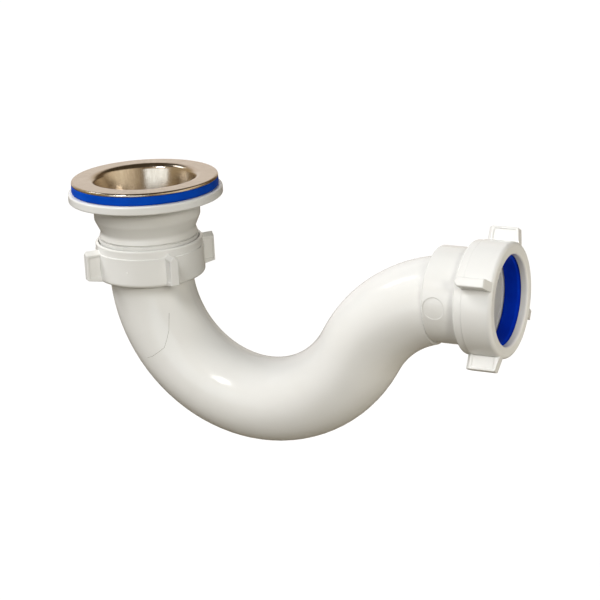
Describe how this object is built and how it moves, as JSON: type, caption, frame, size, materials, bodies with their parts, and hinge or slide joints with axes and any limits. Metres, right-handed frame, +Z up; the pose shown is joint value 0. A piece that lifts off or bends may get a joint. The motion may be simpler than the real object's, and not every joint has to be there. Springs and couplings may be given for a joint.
{
  "type": "tubular trap",
  "caption": "Tubular sink trap: steel strainer cup on a blue gasket, white plastic waste body, S-bent pipe and winged coupling nuts with conical seals.",
  "frame": {"origin": "on the inlet axis, in the plane where the sink is clamped between the cup's flange and the gasket", "axes": "+Z up along the inlet axis, +X out of the outlet"},
  "size_m": [0.2217, 0.0736, 0.1253],
  "materials": {
    "stainless_steel": "satin, spun",
    "blue_rubber": "satin",
    "white_plastic": "semi-gloss moulded",
    "brass": "machined"
  },
  "bodies": {
    "waste": {"waste_body": "white_plastic", "sink_gasket": "blue_rubber", "insert_nut": "brass"},
    "cup": {"strainer_cup": "stainless_steel"},
    "screw": {"strainer_screw": "stainless_steel"},
    "inlet_coupling": {"inlet_seal": "blue_rubber"},
    "inlet_nut": {"inlet_nut": "white_plastic"},
    "trap": {"trap_pipe": "white_plastic"},
    "outlet_coupling": {"outlet_seal": "blue_rubber"},
    "outlet_nut": {"outlet_nut": "white_plastic"}
  },
  "joints": [
    {"name": "cup_lift", "type": "slide", "parent": "waste", "child": "cup", "axis": [0, 0, 1], "range_m": [0, 0.01]},
    {"name": "screw_turn", "type": "hinge", "parent": "cup", "child": "screw", "pos_m": [0, 0, -0.01615], "axis": [0, 0, 1], "range_deg": [0, 3600.5]},
    {"name": "inlet_travel", "type": "slide", "parent": "waste", "child": "inlet_coupling", "axis": [0, 0, -1], "range_m": [0, 0.01039]},
    {"name": "inlet_nut_turn", "type": "hinge", "parent": "inlet_coupling", "child": "inlet_nut", "pos_m": [0, 0, -0.04685], "axis": [0, 0, -1], "range_deg": [0, 1620.5]},
    {"name": "trap_swivel", "type": "hinge", "parent": "inlet_coupling", "child": "trap", "pos_m": [0, 0, -0.02955], "axis": [0, 0, 1], "continuous": true},
    {"name": "outlet_travel", "type": "slide", "parent": "trap", "child": "outlet_coupling", "axis": [1, 0, 0], "range_m": [0, 0.01039]},
    {"name": "outlet_nut_turn", "type": "hinge", "parent": "outlet_coupling", "child": "outlet_nut", "pos_m": [0.18485, 0, -0.04261], "axis": [1, 0, 0], "range_deg": [0, 1620.5]}
  ],
  "couplings": [
    {"joint": "screw_turn", "follows": "cup_lift", "rad_per_m": 6283.2},
    {"joint": "inlet_nut_turn", "follows": "inlet_travel", "rad_per_m": 2721.1},
    {"joint": "outlet_nut_turn", "follows": "outlet_travel", "rad_per_m": 2721.1}
  ]
}
